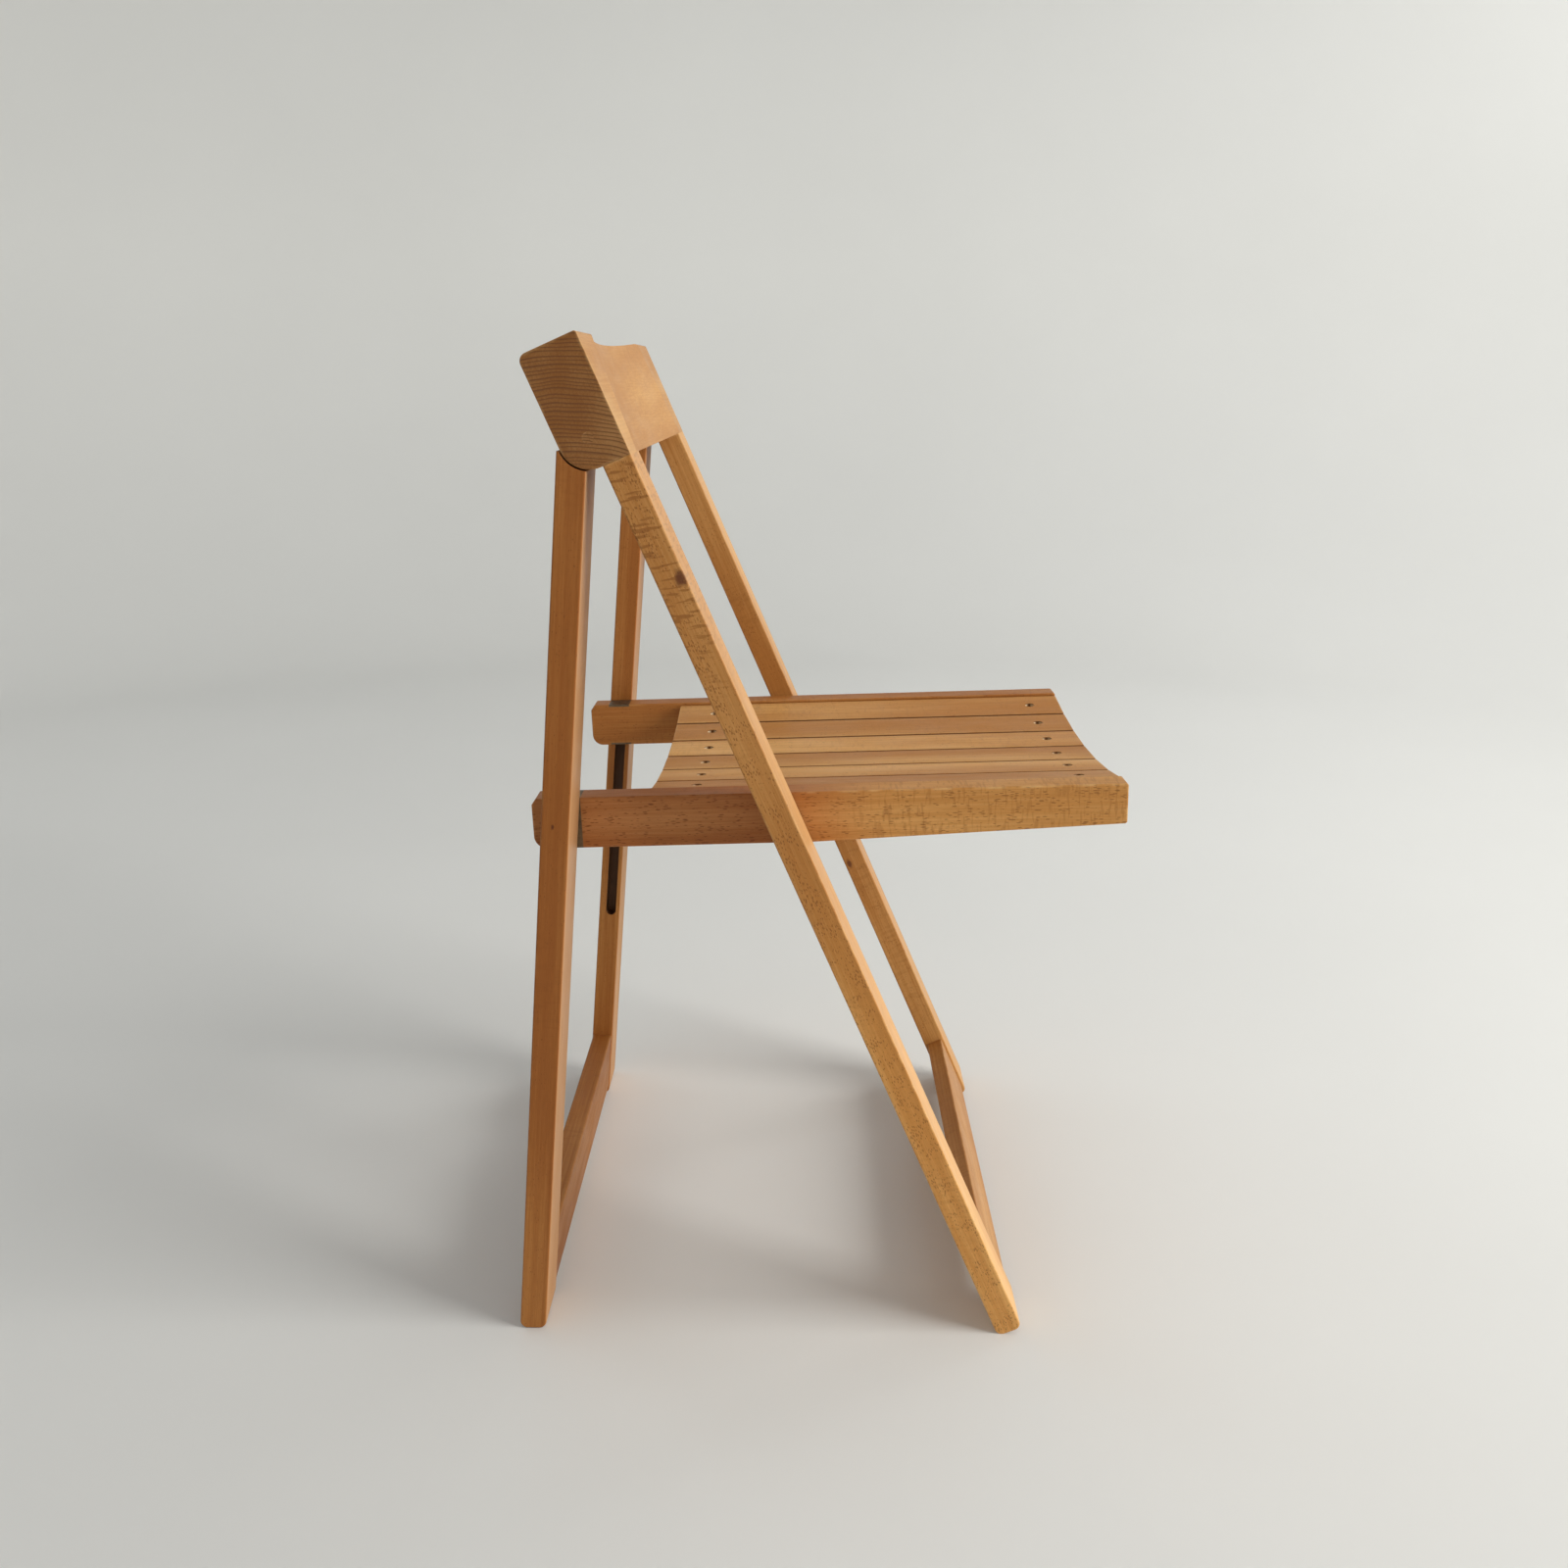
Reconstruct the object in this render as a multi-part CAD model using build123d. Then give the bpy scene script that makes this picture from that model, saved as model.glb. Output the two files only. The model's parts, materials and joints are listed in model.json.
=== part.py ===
"""Folding chair with a slatted, dished seat.

Two frames swing on a hinge inside the back block. The seat turns on the front
legs, and a pin on each side slides in a blind groove of the rear legs.

Millimetres. +Z is up, the sitter faces -Y, and the sitter's left is +X. The
origin is on the floor under the middle of the bounding box.

Each frame is drawn in its own side view: "across" runs forward from the
frame's reference line and "along" runs up it.
"""

import math
import os

from build123d import *

# ---- overall ---------------------------------------------------------------
CHAIR_HEIGHT = 770.0
CHAIR_WIDTH = 440.0
FRONT_LEAN = 23.65  # degrees, front legs lean back going up
REAR_LEAN = 4.57  # degrees, rear legs lean forward going up
SEAT_TILT = 2.1  # degrees, seat rises towards the front

# ---- legs ------------------------------------------------------------------
LEG_WIDTH = 48.0
LEG_DEPTH = 21.0
EDGE_ROUND = 1.5
FOOT_ROUND = 6.0
FOOT_FLAT = 0.6  # how far the rounded corner of a front foot is cut back
FOLD_GAP = 1.2  # between the two frames when folded

# ---- back block ------------------------------------------------------------
BLOCK_HEIGHT = 87.0
BLOCK_TOP_ROUND = 6.0
BLOCK_EDGE_ROUND = 2.0
BLOCK_END_ROUND = 0.8
SCOOP_RADIUS = 890.0
SCOOP_TOP_DEPTH = 9.5
SCOOP_BOTTOM_DEPTH = 16.4

# ---- back hinge ------------------------------------------------------------
HINGE_SWING_GAP = 1.2  # between the block's round corner and the rear leg
TONGUE_THICKNESS = 8.0
TONGUE_RADIUS = 10.5
TONGUE_SIDE_GAP = 0.4
TONGUE_ROUND_GAP = 2.0
TONGUE_ROOT = 42.0  # how far down the rear leg the tongue is let in
SLOT_DROP = 25.0  # the slot's depth below the hinge, through the block's underside
HORN_DROP = 10.5  # the rear leg's top corner, below the hinge
HINGE_PIN_DIAMETER = 6.0
HINGE_PIN_LENGTH = 36.0
HINGE_PLUG_DIAMETER = 8.0
PIN_RUNNING_GAP = 0.05  # radial

# ---- stretchers ------------------------------------------------------------
STRETCHER_HEIGHT = 60.0
FRONT_STRETCHER_START = 6.0
REAR_STRETCHER_START = 8.0
FRONT_STRETCHER_INSET = 2.5
REAR_STRETCHER_INSET = 1.0

# ---- dowels ----------------------------------------------------------------
DOWEL_DIAMETER = 8.0
DOWEL_BEVEL = 0.8
BLOCK_DOWEL_LENGTH = 40.0
BLOCK_DOWEL_SPACING = 28.0
STRETCHER_DOWEL_LENGTH = 36.0
STRETCHER_DOWEL_SPACING = 30.0
CROSS_DOWEL_LENGTH = 26.0

# ---- seat rails ------------------------------------------------------------
SEAT_PIVOT_HEIGHT = 443.0  # along the front leg, above the floor
RAIL_SIDE_GAP = 1.0  # between a leg and a rail
RAIL_THICKNESS = 22.5
RAIL_HEIGHT = 40.0
RAIL_FRONT_HEIGHT = 31.5
RAIL_REAR_REACH = 198.0  # behind the seat pivot
RAIL_FRONT_REACH = 254.0  # ahead of the seat pivot
RAIL_TAPER_START = 15.0
RAIL_HEEL_ROUND = 10.0
RAIL_NOSE_ROUND = 2.0
RAIL_TAIL_CHAMFER = (3.5, 5.0)
RAIL_SIDE_ROUND = 1.2

# ---- slats -----------------------------------------------------------------
SLAT_COUNT = 6
SLAT_GAP = 2.5
SLAT_THICKNESS = 9.0
SLAT_REAR_REACH = 110.0
SLAT_EDGE_ROUND = 1.2
SLAT_END_BEVEL = 0.5
SEAT_DISH_RADIUS = 903.0
DISH_EDGE_DROP = 1.7  # slat surface below the rail's top, beside the rail
SCREW_LINES = (-75.5, 225.5)  # cross rails, measured from the seat pivot
SCREW_HOLE_DIAMETER = 8.5
SCREW_HOLE_DEPTH = 4.5
SCREW_HEAD_DIAMETER = 7.6
SCREW_HEAD_THICKNESS = 2.0
SCREW_SHANK_DIAMETER = 3.6
SCREW_SHANK_LENGTH = 11.0
CROSS_RAIL_WIDTH = 30.0
CROSS_RAIL_CLEARANCES = (1.0, 0.5)  # above the rails' undersides, rear and front

# ---- seat pivot and slide --------------------------------------------------
SEAT_PIN_DIAMETER = 8.0
SEAT_PIN_IN_LEG = 24.0
SEAT_PIN_IN_RAIL = 15.0
WASHER_DIAMETER = 18.0
WASHER_THICKNESS = 0.8
GROOVE_WIDTH = 10.0
GROOVE_DEPTH = 12.0
GROOVE_SHIFT = 1.5  # the groove runs ahead of the leg's middle
SLIDE_PIN_DIAMETER = 9.4
SLIDE_PIN_END_GAP = 1.0
SLIDE_PIN_FREE_GAP = 0.4  # clearance at the linkage's open pivot
BRACKET_WIDTH = 20.0
BRACKET_THICKNESS = 2.0

# ---- worked out ------------------------------------------------------------
LEAN = math.radians(FRONT_LEAN)
LEG_OUTSIDE = CHAIR_WIDTH / 2
LEG_INSIDE = LEG_OUTSIDE - LEG_WIDTH
LEG_MIDDLE = LEG_OUTSIDE - LEG_WIDTH / 2
BLOCK_TOP = (CHAIR_HEIGHT - LEG_DEPTH * math.sin(LEAN)) / math.cos(LEAN)
BLOCK_BOTTOM = BLOCK_TOP - BLOCK_HEIGHT
BACK_HINGE = (-FOLD_GAP, BLOCK_BOTTOM + LEG_DEPTH)
SEAT_PIVOT = (LEG_DEPTH / 2, SEAT_PIVOT_HEIGHT)
RAIL_OUTSIDE = LEG_INSIDE - RAIL_SIDE_GAP
RAIL_INSIDE = RAIL_OUTSIDE - RAIL_THICKNESS
RAIL_BOTTOM = -LEG_DEPTH / 2  # flush with the front legs when folded
RAIL_TOP = RAIL_BOTTOM + RAIL_HEIGHT
GROOVE_LINE = -LEG_DEPTH / 2 + GROOVE_SHIFT
SLIDE_LEVEL = RAIL_BOTTOM + LEG_DEPTH + FOLD_GAP - GROOVE_LINE
SLAT_PITCH = 2 * RAIL_INSIDE / SLAT_COUNT
SLAT_WIDTH = SLAT_PITCH - SLAT_GAP
SIDES = {"right": -1, "left": 1}


def side_plane(y, z, angle):
    """A side view: across points forward, tilted up by angle; out is -X."""
    turn = math.radians(angle)
    return Plane(
        origin=(0, y, z),
        x_dir=(0, -math.cos(turn), math.sin(turn)),
        z_dir=(-1, 0, 0),
    )


def spot(plane, across, along, x=0.0):
    """The place of a side-view point, at the given x."""
    return plane.from_local_coords((across, along, -x))


def floor_along(plane, across):
    """Where the floor lies along a side view, at the given across."""
    return -spot(plane, across, 0).Z / plane.y_dir.Z


def bounds_middle():
    """Half way between the seat's front and the rear feet, from the front foot."""
    front = side_plane(0, 0, FRONT_LEAN)
    hinge = spot(front, *BACK_HINGE)
    rear = side_plane(hinge.Y, hinge.Z, -REAR_LEAN)
    heel = spot(rear, -LEG_DEPTH, floor_along(rear, -LEG_DEPTH) + FOOT_ROUND)
    pivot = spot(front, *SEAT_PIVOT)
    seat = side_plane(pivot.Y, pivot.Z, SEAT_TILT)
    nose = spot(seat, RAIL_FRONT_REACH, RAIL_TOP / 2)
    return (heel.Y + nose.Y) / 2


FRONT = side_plane(-bounds_middle(), 0, FRONT_LEAN)
HINGE_SPOT = spot(FRONT, *BACK_HINGE)
REAR = side_plane(HINGE_SPOT.Y, HINGE_SPOT.Z, -REAR_LEAN)
PIVOT_SPOT = spot(FRONT, *SEAT_PIVOT)
SEAT = side_plane(PIVOT_SPOT.Y, PIVOT_SPOT.Z, SEAT_TILT)


def slide_reach():
    """How far behind the seat pivot the slide pin sits, from the groove's line."""
    level = REAR.to_local_coords(spot(SEAT, 0, SLIDE_LEVEL))
    one_back = REAR.to_local_coords(spot(SEAT, -1, SLIDE_LEVEL))
    return (GROOVE_LINE - level.X) / (level.X - one_back.X)


SLIDE_REACH = slide_reach()
SLIDE_OPEN = REAR.to_local_coords(spot(SEAT, SLIDE_REACH, SLIDE_LEVEL)).Y
SLIDE_ARM = math.hypot(SLIDE_REACH, SLIDE_LEVEL)
FOLDED_OFFSET = SEAT_PIVOT[0] - BACK_HINGE[0] - GROOVE_LINE
SLIDE_FOLDED = SEAT_PIVOT[1] - BACK_HINGE[1] - math.sqrt(SLIDE_ARM**2 - FOLDED_OFFSET**2)


def outline(plane, corners):
    """A face from corners of (across, along, rounding)."""
    face = make_face(Polyline(*[(a, b) for a, b, _ in corners], close=True))
    for across, along, rounding in corners:
        if rounding > 0:
            corner = face.vertices().sort_by_distance((across, along, 0))[0]
            face = fillet(corner, rounding)
    return plane * face


def between(plane, face, x_from, x_to):
    """Extrude a side-view face from one x to another."""
    low, high = sorted((x_from, x_to))
    return extrude(Pos(high, 0, 0) * face, amount=high - low, dir=(-1, 0, 0))


def rod(plane, across, along, diameter, x_from, x_to):
    """A round bar across the chair."""
    disc = plane * Pos(across, along) * Circle(diameter / 2)
    return between(plane, disc, x_from, x_to)


def rounded_long_edges(board, plane, radius):
    """Round the edges that run along the board."""
    way = plane.y_dir
    long_edges = [
        edge
        for edge in board.edges().filter_by(GeomType.LINE)
        if abs(edge.tangent_at(0.5).dot(way)) > math.cos(math.radians(1))
    ]
    return fillet(long_edges, radius)


def rounded_rims(board, radius):
    """Round the edges of the faces that look sideways."""
    return fillet(board.faces().filter_by(Axis.X).edges(), radius)


def dowel(start, direction, length):
    """A beech dowel with bevelled ends."""
    place = Plane(origin=start, z_dir=direction)
    bar = extrude(place * Circle(DOWEL_DIAMETER / 2), amount=length)
    return chamfer(bar.edges().filter_by(GeomType.CIRCLE), DOWEL_BEVEL)


def dowel_hole(start, direction, length):
    """The hole that a dowel fills."""
    place = Plane(origin=start, z_dir=direction)
    return extrude(place * Circle(DOWEL_DIAMETER / 2), amount=length)


# ---- front frame -------------------------------------------------------------
def block_dowel_starts(side):
    """Lower ends of the two dowels that join a front leg to the block."""
    for shift in (-BLOCK_DOWEL_SPACING / 2, BLOCK_DOWEL_SPACING / 2):
        x = side * LEG_MIDDLE + shift
        yield spot(FRONT, LEG_DEPTH / 2, BLOCK_BOTTOM - BLOCK_DOWEL_LENGTH / 2, x)


def stretcher_dowel_starts(plane, across, middle, side):
    """Inner ends of the two dowels at one end of a stretcher."""
    x = side * (LEG_INSIDE - STRETCHER_DOWEL_LENGTH / 2)
    for shift in (-STRETCHER_DOWEL_SPACING / 2, STRETCHER_DOWEL_SPACING / 2):
        yield spot(plane, across, middle + shift, x)


FRONT_DOWELS = (LEG_DEPTH / 2, FRONT_STRETCHER_START + STRETCHER_HEIGHT / 2)
REAR_FOOT = floor_along(REAR, 0)
REAR_DOWELS = (-LEG_DEPTH / 2, REAR_FOOT + REAR_STRETCHER_START + STRETCHER_HEIGHT / 2)


def front_leg(side):
    heel = (FOOT_ROUND - FOOT_ROUND * math.sin(LEAN) - FOOT_FLAT) / math.cos(LEAN) - FOOT_ROUND
    corners = [
        (0, heel, FOOT_ROUND),
        (LEG_DEPTH, heel, FOOT_ROUND),
        (LEG_DEPTH, BLOCK_BOTTOM, 0),
        (0, BLOCK_BOTTOM, 0),
    ]
    leg = between(FRONT, outline(FRONT, corners), side * LEG_INSIDE, side * LEG_OUTSIDE)
    leg = rounded_long_edges(leg, FRONT, EDGE_ROUND)
    leg -= Pos(0, 0, -CHAIR_HEIGHT / 2) * Box(CHAIR_WIDTH * 2, CHAIR_HEIGHT * 4, CHAIR_HEIGHT)
    pin_end = side * (LEG_INSIDE + SEAT_PIN_IN_LEG)
    leg -= rod(FRONT, *SEAT_PIVOT, SEAT_PIN_DIAMETER, side * LEG_INSIDE, pin_end)
    for start in block_dowel_starts(side):
        leg -= dowel_hole(start, FRONT.y_dir, BLOCK_DOWEL_LENGTH)
    for start in stretcher_dowel_starts(FRONT, *FRONT_DOWELS, side):
        leg -= dowel_hole(start, (side, 0, 0), STRETCHER_DOWEL_LENGTH)
    return leg


def backrest():
    hinge_across, hinge_along = BACK_HINGE
    rear_face = hinge_across - LEG_DEPTH
    corners = [
        (LEG_DEPTH, BLOCK_BOTTOM, 0),
        (LEG_DEPTH, BLOCK_TOP, BLOCK_EDGE_ROUND),
        (rear_face, BLOCK_TOP, BLOCK_TOP_ROUND),
        (rear_face, BLOCK_BOTTOM, LEG_DEPTH),
    ]
    block = between(FRONT, outline(FRONT, corners), -LEG_OUTSIDE, LEG_OUTSIDE)
    block = rounded_rims(block, BLOCK_END_ROUND)
    low = spot(FRONT, LEG_DEPTH - SCOOP_BOTTOM_DEPTH + SCOOP_RADIUS, BLOCK_BOTTOM)
    high = spot(FRONT, LEG_DEPTH - SCOOP_TOP_DEPTH + SCOOP_RADIUS, BLOCK_TOP)
    axis = Plane(origin=(low + high) / 2, z_dir=high - low)
    block -= axis * Cylinder(SCOOP_RADIUS, 3 * BLOCK_HEIGHT)
    slot_round = TONGUE_RADIUS + TONGUE_ROUND_GAP
    slot_front = hinge_across + TONGUE_SIDE_GAP
    slot_corners = [
        (slot_front, hinge_along - SLOT_DROP, 0),
        (slot_front, hinge_along, 0),
        (rear_face - FOLD_GAP, hinge_along, 0),
        (rear_face - FOLD_GAP, hinge_along - SLOT_DROP, 0),
    ]
    half_slot = TONGUE_THICKNESS / 2 + TONGUE_SIDE_GAP
    for side in SIDES.values():
        inner = side * LEG_MIDDLE - half_slot
        outer = side * LEG_MIDDLE + half_slot
        block -= rod(FRONT, *BACK_HINGE, 2 * slot_round, inner, outer)
        block -= between(FRONT, outline(FRONT, slot_corners), inner, outer)
        pin_start = side * (LEG_MIDDLE - HINGE_PIN_LENGTH / 2)
        pin_end = side * (LEG_MIDDLE + HINGE_PIN_LENGTH / 2)
        block -= rod(FRONT, *BACK_HINGE, HINGE_PIN_DIAMETER, pin_start, pin_end)
        block -= rod(FRONT, *BACK_HINGE, HINGE_PLUG_DIAMETER, pin_end, side * LEG_OUTSIDE)
        for start in block_dowel_starts(side):
            block -= dowel_hole(start, FRONT.y_dir, BLOCK_DOWEL_LENGTH)
    return block


def stretcher(plane, inset, start, rear_line, dowels):
    """A board between two legs, from start up, inset from both leg faces."""
    corners = [
        (rear_line + inset, start, EDGE_ROUND),
        (rear_line + LEG_DEPTH - inset, start, EDGE_ROUND),
        (rear_line + LEG_DEPTH - inset, start + STRETCHER_HEIGHT, EDGE_ROUND),
        (rear_line + inset, start + STRETCHER_HEIGHT, EDGE_ROUND),
    ]
    board = between(plane, outline(plane, corners), -LEG_INSIDE, LEG_INSIDE)
    for side in SIDES.values():
        for place in stretcher_dowel_starts(plane, *dowels, side):
            board -= dowel_hole(place, (side, 0, 0), STRETCHER_DOWEL_LENGTH)
    return board


def hinge_pin(side):
    start = side * (LEG_MIDDLE - HINGE_PIN_LENGTH / 2)
    end = side * (LEG_MIDDLE + HINGE_PIN_LENGTH / 2)
    return rod(FRONT, *BACK_HINGE, HINGE_PIN_DIAMETER, start, end)


def hinge_plug(side):
    start = side * (LEG_MIDDLE + HINGE_PIN_LENGTH / 2)
    return rod(FRONT, *BACK_HINGE, HINGE_PLUG_DIAMETER, start, side * LEG_OUTSIDE)


def seat_pivot_pin(side):
    start = side * (RAIL_OUTSIDE - SEAT_PIN_IN_RAIL)
    return rod(FRONT, *SEAT_PIVOT, SEAT_PIN_DIAMETER, start, side * (LEG_INSIDE + SEAT_PIN_IN_LEG))


def seat_washer(side):
    spare = (RAIL_SIDE_GAP - WASHER_THICKNESS) / 2
    start = side * (RAIL_OUTSIDE + spare)
    end = side * (LEG_INSIDE - spare)
    ring = rod(FRONT, *SEAT_PIVOT, WASHER_DIAMETER, start, end)
    return ring - rod(FRONT, *SEAT_PIVOT, SEAT_PIN_DIAMETER, start, end)


# ---- rear frame --------------------------------------------------------------
def groove(side):
    """The blind groove in the inner face of a rear leg."""
    top = SLIDE_OPEN
    low = SLIDE_FOLDED
    middle = (top + low) / 2
    length = top - low + GROOVE_WIDTH
    slot = REAR * Pos(GROOVE_LINE, middle) * SlotOverall(length, GROOVE_WIDTH, rotation=90)
    return between(REAR, slot, side * LEG_INSIDE, side * (LEG_INSIDE + GROOVE_DEPTH))


def tongue(side):
    """The flat lug that enters the back block."""
    half = TONGUE_THICKNESS / 2
    ends = (side * LEG_MIDDLE - half, side * LEG_MIDDLE + half)
    front_edge = -TONGUE_SIDE_GAP
    corners = [
        (front_edge, 0, 0),
        (-TONGUE_RADIUS, 0, 0),
        (-TONGUE_RADIUS, -TONGUE_ROOT, 0),
        (front_edge, -TONGUE_ROOT, 0),
    ]
    neck = between(REAR, outline(REAR, corners), *ends)
    return neck + rod(REAR, 0, 0, 2 * TONGUE_RADIUS, *ends)


def rear_leg(side):
    foot_rear = floor_along(REAR, -LEG_DEPTH)
    corners = [
        (-LEG_DEPTH, foot_rear, FOOT_ROUND),
        (0, REAR_FOOT, FOOT_ROUND),
        (0, -HORN_DROP, 0),
        (-LEG_DEPTH, -HORN_DROP, 0),
    ]
    leg = between(REAR, outline(REAR, corners), side * LEG_INSIDE, side * LEG_OUTSIDE)
    leg = rounded_long_edges(leg, REAR, EDGE_ROUND)
    hollow = 2 * (LEG_DEPTH + HINGE_SWING_GAP)
    leg -= rod(REAR, 0, 0, hollow, -LEG_OUTSIDE, LEG_OUTSIDE)
    leg -= groove(side)
    leg += tongue(side)
    hole = HINGE_PIN_DIAMETER + 2 * PIN_RUNNING_GAP
    leg -= rod(REAR, 0, 0, hole, side * LEG_INSIDE, side * LEG_OUTSIDE)
    for start in stretcher_dowel_starts(REAR, *REAR_DOWELS, side):
        leg -= dowel_hole(start, (side, 0, 0), STRETCHER_DOWEL_LENGTH)
    return leg


def slide_pin(side):
    start = side * (RAIL_OUTSIDE + SLIDE_PIN_FREE_GAP)
    end = side * (LEG_INSIDE + GROOVE_DEPTH - SLIDE_PIN_END_GAP)
    return rod(REAR, GROOVE_LINE, SLIDE_OPEN, SLIDE_PIN_DIAMETER, start, end)


# ---- seat --------------------------------------------------------------------
def rail_bottom_at(reach):
    """Height of the rails' underside, which rises ahead of the pivot."""
    span = RAIL_FRONT_REACH - RAIL_TAPER_START
    share = max(0.0, (reach - RAIL_TAPER_START) / span)
    return RAIL_BOTTOM + share * (RAIL_HEIGHT - RAIL_FRONT_HEIGHT)


def bracket_band(inset):
    """Corners of the bracket's band on a rail, short of the rail's edges by inset."""
    half = BRACKET_WIDTH / 2
    return [
        (SLIDE_REACH - half, RAIL_BOTTOM + inset, 0),
        (SLIDE_REACH + half, RAIL_BOTTOM + inset, 0),
        (SLIDE_REACH + half, RAIL_TOP - inset, 0),
        (SLIDE_REACH - half, RAIL_TOP - inset, 0),
    ]


def rail_blank(side):
    """A side rail before anything is let into it."""
    back, down = RAIL_TAIL_CHAMFER
    corners = [
        (-RAIL_REAR_REACH, RAIL_BOTTOM, RAIL_HEEL_ROUND),
        (RAIL_TAPER_START, RAIL_BOTTOM, 0),
        (RAIL_FRONT_REACH, rail_bottom_at(RAIL_FRONT_REACH), RAIL_NOSE_ROUND),
        (RAIL_FRONT_REACH, RAIL_TOP, RAIL_NOSE_ROUND),
        (back - RAIL_REAR_REACH, RAIL_TOP, EDGE_ROUND),
        (-RAIL_REAR_REACH, RAIL_TOP - down, EDGE_ROUND),
    ]
    rail = between(SEAT, outline(SEAT, corners), side * RAIL_INSIDE, side * RAIL_OUTSIDE)
    return rounded_rims(rail, RAIL_SIDE_ROUND)


def slide_bracket(side):
    """A U-shaped steel strip let in flush around the rail's outer side."""
    inner = side * RAIL_INSIDE
    web = side * (RAIL_OUTSIDE - BRACKET_THICKNESS)
    band = between(SEAT, outline(SEAT, bracket_band(0)), inner, side * RAIL_OUTSIDE)
    core = between(SEAT, outline(SEAT, bracket_band(BRACKET_THICKNESS)), inner, web)
    return rail_blank(side) & (band - core)


def cross_dowel_start(reach, side):
    level = RAIL_TOP - DISH_EDGE_DROP - SLAT_THICKNESS - DOWEL_DIAMETER
    return spot(SEAT, reach, level, side * (RAIL_INSIDE - CROSS_DOWEL_LENGTH / 2))


def seat_rail(side):
    rail = rail_blank(side) - slide_bracket(side)
    hole = SEAT_PIN_DIAMETER + 2 * PIN_RUNNING_GAP
    bottom_of_hole = side * (RAIL_OUTSIDE - SEAT_PIN_IN_RAIL - RAIL_SIDE_GAP)
    rail -= rod(SEAT, 0, 0, hole, bottom_of_hole, side * RAIL_OUTSIDE)
    for reach in SCREW_LINES:
        rail -= dowel_hole(cross_dowel_start(reach, side), (side, 0, 0), CROSS_DOWEL_LENGTH)
    return rail


def slat_plane(index, reach=0.0):
    """The middle of a slat's top face: x across the slat, y forward, z out of it."""
    x = (index - (SLAT_COUNT - 1) / 2) * SLAT_PITCH
    edge_rise = RAIL_INSIDE**2 / (2 * SEAT_DISH_RADIUS)
    level = RAIL_TOP - DISH_EDGE_DROP - edge_rise + x**2 / (2 * SEAT_DISH_RADIUS)
    slope = math.asin(x / SEAT_DISH_RADIUS)
    across = Vector(math.cos(slope), 0, 0) + SEAT.y_dir * math.sin(slope)
    out = SEAT.y_dir * math.cos(slope) - Vector(math.sin(slope), 0, 0)
    return Plane(origin=spot(SEAT, reach, level, x), x_dir=across, z_dir=out)


def seat_slat(index):
    length = SLAT_REAR_REACH + RAIL_FRONT_REACH
    middle = (RAIL_FRONT_REACH - SLAT_REAR_REACH) / 2
    section = RectangleRounded(SLAT_WIDTH, SLAT_THICKNESS, SLAT_EDGE_ROUND)
    top = slat_plane(index, middle)
    start = top.origin - SEAT.x_dir * (length / 2) - top.z_dir * (SLAT_THICKNESS / 2)
    board = extrude(Plane(origin=start, x_dir=top.x_dir, z_dir=SEAT.x_dir) * section, amount=length)
    ends = board.faces().filter_by(lambda face: abs(face.normal_at().dot(SEAT.x_dir)) > 0.99)
    board = chamfer(ends.edges(), SLAT_END_BEVEL)
    for reach in SCREW_LINES:
        place = slat_plane(index, reach)
        bore = extrude(place * Circle(SCREW_HOLE_DIAMETER / 2), amount=-SCREW_HOLE_DEPTH)
        shank = extrude(place * Circle(SCREW_SHANK_DIAMETER / 2), amount=-SLAT_THICKNESS)
        board -= bore + shank
    return board


def seat_screw(index, reach):
    place = slat_plane(index, reach).offset(-SCREW_HOLE_DEPTH)
    head = extrude(place * Circle(SCREW_HEAD_DIAMETER / 2), amount=SCREW_HEAD_THICKNESS)
    shank = extrude(place * Circle(SCREW_SHANK_DIAMETER / 2), amount=-SCREW_SHANK_LENGTH)
    return head + shank


def cross_rail(reach, clearance):
    """A rail under the slats, sawn to their dish and dowelled to the side rails."""
    half = CROSS_RAIL_WIDTH / 2
    corners = [
        (reach - half, rail_bottom_at(reach - half) + clearance, EDGE_ROUND),
        (reach + half, rail_bottom_at(reach + half) + clearance, EDGE_ROUND),
        (reach + half, RAIL_TOP, 0),
        (reach - half, RAIL_TOP, 0),
    ]
    bar = between(SEAT, outline(SEAT, corners), -RAIL_INSIDE, RAIL_INSIDE)
    for index in range(SLAT_COUNT):
        place = slat_plane(index, reach)
        top = place.offset(RAIL_HEIGHT / 2 - SLAT_THICKNESS)
        bar -= top * Box(SLAT_PITCH + SLAT_GAP, 2 * CROSS_RAIL_WIDTH, RAIL_HEIGHT)
        screw = place * Circle(SCREW_SHANK_DIAMETER / 2)
        bar -= extrude(screw, amount=-SCREW_HOLE_DEPTH - SCREW_SHANK_LENGTH)
    for side in SIDES.values():
        bar -= dowel_hole(cross_dowel_start(reach, side), (side, 0, 0), CROSS_DOWEL_LENGTH)
    return bar


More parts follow.
